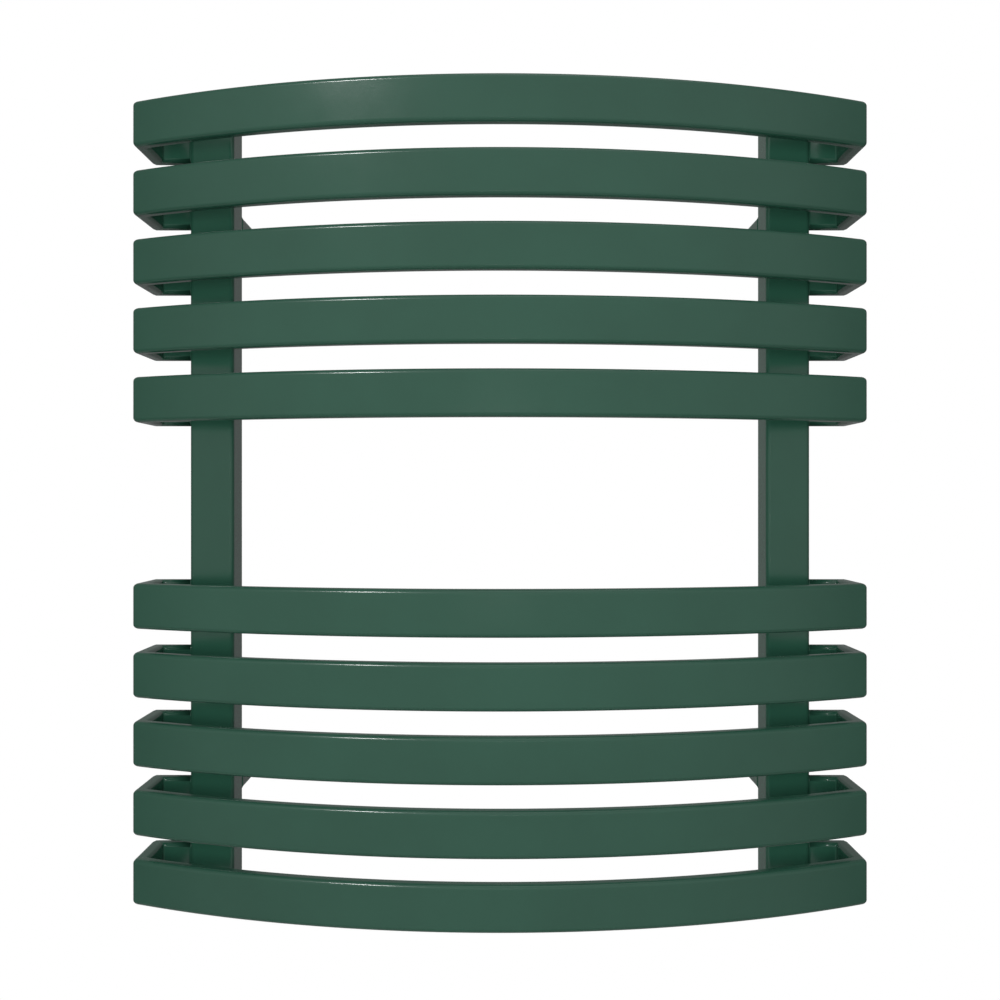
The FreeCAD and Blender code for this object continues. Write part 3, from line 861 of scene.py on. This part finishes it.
def plugOutline(low, high):
    # shank and flange, from the lower end up to the rim of the flange
    shape = plugShape
    shank, edge, top = shape["shankRadius"], shape["flangeEdge"], high.z
    rim, under = (high.x - low.x) / 2, high.z - shape["flangeHeight"]
    return [(shank - shape["lead"], low.z), (shank, low.z + shape["lead"]), (shank, under),
            (rim - edge / 2, under), (rim, under + edge / 2), (rim, top - edge), (rim - edge, top)]


def makePlug(plating):
    low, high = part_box("blanking_plug")
    centre = (low + high) / 2
    plug = turned("blankingPlug", centre, plugOutline(low, high))
    tool = prismAt(6, plugShape["keyRadius"], centre, high.z - plugShape["keyDepth"],
                   high.z + plugShape["keyOver"])
    cut(plug, "DIFFERENCE", tool)
    ease(plug, turning["easing"])
    finishPiece(plug, plating, "rail", "bright_plating", "blanking_plug")


ventShape = {
    "boreRadius": 0.00305,
    "boreDepth": 0.008,
    "drainRadius": 0.0015,
    "boreEdge": 0.0004,
    "ringEdge": 0.0004,
    "ringBore": 0.0033,
    "gripInset": 0.00012,
    "gripDepth": 0.00035,
    "spoutRadius": 0.0017,
    "spoutBore": 0.0010,
    "spoutSteps": 32,
    "spoutRoot": 0.0012,      # from the ring's bore to the near end of the spout
    "drillIn": 0.005,         # how far the spout's drill goes past the near end
    "drillOut": 0.01,
    "stemRadius": 0.003,
    "stemPitch": 0.001,
    "stemRidge": 0.0003,
    "stemTurns": 6,
    "capHeight": 0.0008,
    "capEdge": 0.00015,
    "squareHeight": 0.002,
    "squareRadius": 0.0032,
    "squareRoot": 0.0002,     # how far the square goes down into the cap
    "slotWidth": 0.0009,
    "slotDepth": 0.0008,
    "slotLength": 0.02,
}


def makeVentBody(plating):
    shape = ventShape
    low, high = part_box("air_vent_body")
    bore, drain, floor = shape["boreRadius"], shape["drainRadius"], high.z - shape["boreDepth"]
    outline = [(drain, low.z)] + plugOutline(low, high)
    outline += [(bore + shape["boreEdge"], high.z), (bore, high.z - shape["boreEdge"]), (bore, floor),
                (drain, floor), (drain, low.z)]
    body = turned("airVentBody", (low + high) / 2, outline, closed=True)
    ease(body, turning["easing"])
    finishPiece(body, plating, "rail", "bright_plating", "air_vent_body")


sealShape = {"holeRadius": 0.0096, "lip": 0.0003, "shadeAngle": radians(50)}


def makeSeals(rubber):
    # a flat ring with rounded rims
    inner, lip = sealShape["holeRadius"], sealShape["lip"]
    for node, name in (("blanking_plug_seal", "blankingPlugSeal"), ("air_vent_seal", "airVentSeal")):
        low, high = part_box(node)
        outer = (high.x - low.x) / 2
        outline = [(inner, low.z + lip / 2), (inner + lip / 2, low.z), (outer - 1.5 * lip, low.z),
                   (outer - lip / 3, low.z + lip), (outer, (low.z + high.z) / 2),
                   (outer - lip / 3, high.z - lip), (outer - 1.5 * lip, high.z),
                   (inner + lip / 2, high.z), (inner, high.z - lip / 2), (inner, low.z + lip / 2)]
        seal = turned(name, (low + high) / 2, outline, closed=True)
        bpy.ops.object.shade_smooth_by_angle(angle=sealShape["shadeAngle"])
        finishPiece(seal, rubber, "rail", "seal_rubber", node)


def cutGrips(ring, centre, least):
    # press in every other face of the rim
    openEdit("FACE")
    mesh = bmesh.from_edit_mesh(ring.data)
    bpy.ops.mesh.select_all(action="DESELECT")
    rim = [face for face in mesh.faces if (face.calc_center_median().xy - centre.xy).length > least]
    rim.sort(key=lambda face: (face.calc_center_median().xy - centre.xy).angle_signed(Vector((1, 0))))
    for face in rim[::2]:
        face.select_set(True)
    bmesh.update_edit_mesh(ring.data)
    bpy.ops.mesh.inset(thickness=ventShape["gripInset"], depth=-ventShape["gripDepth"], use_individual=True)
    closeEdit()


def makeOutlet(plastic):
    shape = ventShape
    ventLow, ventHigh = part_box("air_vent_body")
    low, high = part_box("vent_outlet")
    centre = (ventLow + ventHigh) / 2
    rim, bore, edge = centre.y - low.y, shape["ringBore"], shape["ringEdge"]
    outline = [(bore, low.z), (rim - edge, low.z), (rim, low.z + edge), (rim, high.z - edge),
               (rim - edge, high.z), (bore, high.z), (bore, low.z)]
    ring = turned("ventOutletRing", centre, outline, closed=True)
    cutGrips(ring, centre, rim - edge / 3)
    root = centre.y + bore + shape["spoutRoot"]
    spout = (shape["spoutRadius"], "UNION", root, high.y)
    drill = (shape["spoutBore"], "DIFFERENCE", root - shape["drillIn"], high.y + shape["drillOut"])
    for radius, operation, near, far in (spout, drill):
        deselectAll()
        middle = (centre.x, (near + far) / 2, (low.z + high.z) / 2)
        bpy.ops.mesh.primitive_cylinder_add(vertices=shape["spoutSteps"], radius=radius, depth=far - near,
                                            rotation=(pi / 2, 0, 0), location=middle)
        cut(ring, operation, named("tool"))
    ease(ring, turning["easing"] / 2)
    finishPiece(ring, plastic, "vent_outlet", "outlet_plastic", "vent_outlet")


def makeBleedScrew(brass):
    shape = ventShape
    low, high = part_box("bleed_screw")
    centre, cap = (low + high) / 2, (high.x - low.x) / 2
    capTop = high.z - shape["squareHeight"]
    capLow = capTop - shape["capHeight"]
    stem, edge = shape["stemRadius"], shape["capEdge"]
    pitch, ridge = shape["stemPitch"], shape["stemRidge"]
    outline = [(stem - 2 * ridge, low.z)]
    for turn in range(shape["stemTurns"]):
        outline += [(stem, low.z + (turn + 0.5) * pitch), (stem - ridge, low.z + (turn + 1) * pitch)]
    outline += [(stem - ridge, capLow), (cap - edge, capLow), (cap, capLow + edge), (cap, capTop - edge),
                (cap - edge, capTop)]
    screw = turned("bleedScrew", centre, outline)
    square = prismAt(4, shape["squareRadius"], centre, capTop - shape["squareRoot"], high.z, pi / 4)
    cut(screw, "UNION", square)
    deselectAll()
    bpy.ops.mesh.primitive_cube_add(size=1, location=(centre.x, centre.y, high.z))
    tool = bpy.context.active_object
    tool.scale = (shape["slotLength"], shape["slotWidth"], 2 * shape["slotDepth"])
    cut(screw, "DIFFERENCE", named("tool"))
    ease(screw, turning["easing"])
    finishPiece(screw, brass, "bleed_screw", "brass", "bleed_screw")


setScrew = {
    "pitch": 0.001,
    "ridge": 0.00045,
    "lead": 0.3,              # from the end to the first ridge, in pitches
    "keyRadius": 0.00173,
    "keyDepth": 0.0025,
    "keyOver": 0.002,
    "point": 0.001,
    "pointTaper": 0.0014,
    "shadeAngle": radians(30),
}


def makeSetScrews(steel):
    shape = setScrew
    pitch, ridge = shape["pitch"], shape["ridge"]
    for name in fixings:
        low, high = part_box(name + "_grub_screw")
        centre, radius = (low + high) / 2, (high.x - low.x) / 2
        outline = [(radius - ridge, low.z)]
        height = low.z + shape["lead"] * pitch
        while height + pitch / 2 < high.z - shape["point"]:
            outline += [(radius, height), (radius - ridge, height + pitch / 2)]
            height += pitch
        outline += [(radius - ridge, high.z - shape["point"]), (radius - shape["pointTaper"], high.z)]
        words = name.split("_")
        screw = turned(words[0] + words[1].title() + "SetScrew", centre, outline)
        key = prismAt(6, shape["keyRadius"], centre, low.z - shape["keyOver"], low.z + shape["keyDepth"])
        cut(screw, "DIFFERENCE", key)
        makeActive(screw)
        bpy.ops.object.shade_smooth_by_angle(angle=shape["shadeAngle"])
        finishPiece(screw, steel, name + "_grub", "dark_steel", name + "_grub_screw")
    print("set screws turned:", len(fixings))


makeCamera()
makeWorld()
makeLamps()
makeFloor()
print("studio set up")

finishes = {
    "powder_coat": powderCoat(),
    "zinc_steel": zincPlate(),
    "dark_steel": blackOxide(),
    "brass": turnedBrass(),
    "seal_rubber": sealRubber(),
    "pad_plastic": mouldedPlastic("padPlastic", (0.045, 0.045, 0.046, 1), (0.06, 0.06, 0.06, 1), 0.55),
    "outlet_plastic": mouldedPlastic("outletPlastic", (0.80, 0.80, 0.78, 1), (0.74, 0.74, 0.71, 1), 0.42),
}
plugCentre = sum(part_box("blanking_plug"), Vector()) / 2
ventCentre = sum(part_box("air_vent_body"), Vector()) / 2
platings = {"blanking_plug": nickelPlate(plugCentre), "air_vent_body": nickelPlate(ventCentre)}
for part in frame["record"]["subparts"]:
    node = frame["nodes"][part["node"]]
    finish = platings.get(part["node"]) or finishes[part["material_slot"]]
    for index in range(len(node.data.materials)):
        node.data.materials[index] = finish
print("finishes assigned to", len(frame["nodes"]), "nodes")

makeRungs(finishes["powder_coat"])
makeWelds(finishes["powder_coat"])
makeSockets(finishes["powder_coat"], bareThread())
makePlug(platings["blanking_plug"])
makeVentBody(platings["air_vent_body"])
makeSeals(finishes["seal_rubber"])
makeOutlet(finishes["outlet_plastic"])
makeBleedScrew(finishes["brass"])
print("plug and air vent turned")
makeSetScrews(finishes["dark_steel"])

bpy.context.scene.view_settings.view_transform = "Standard"
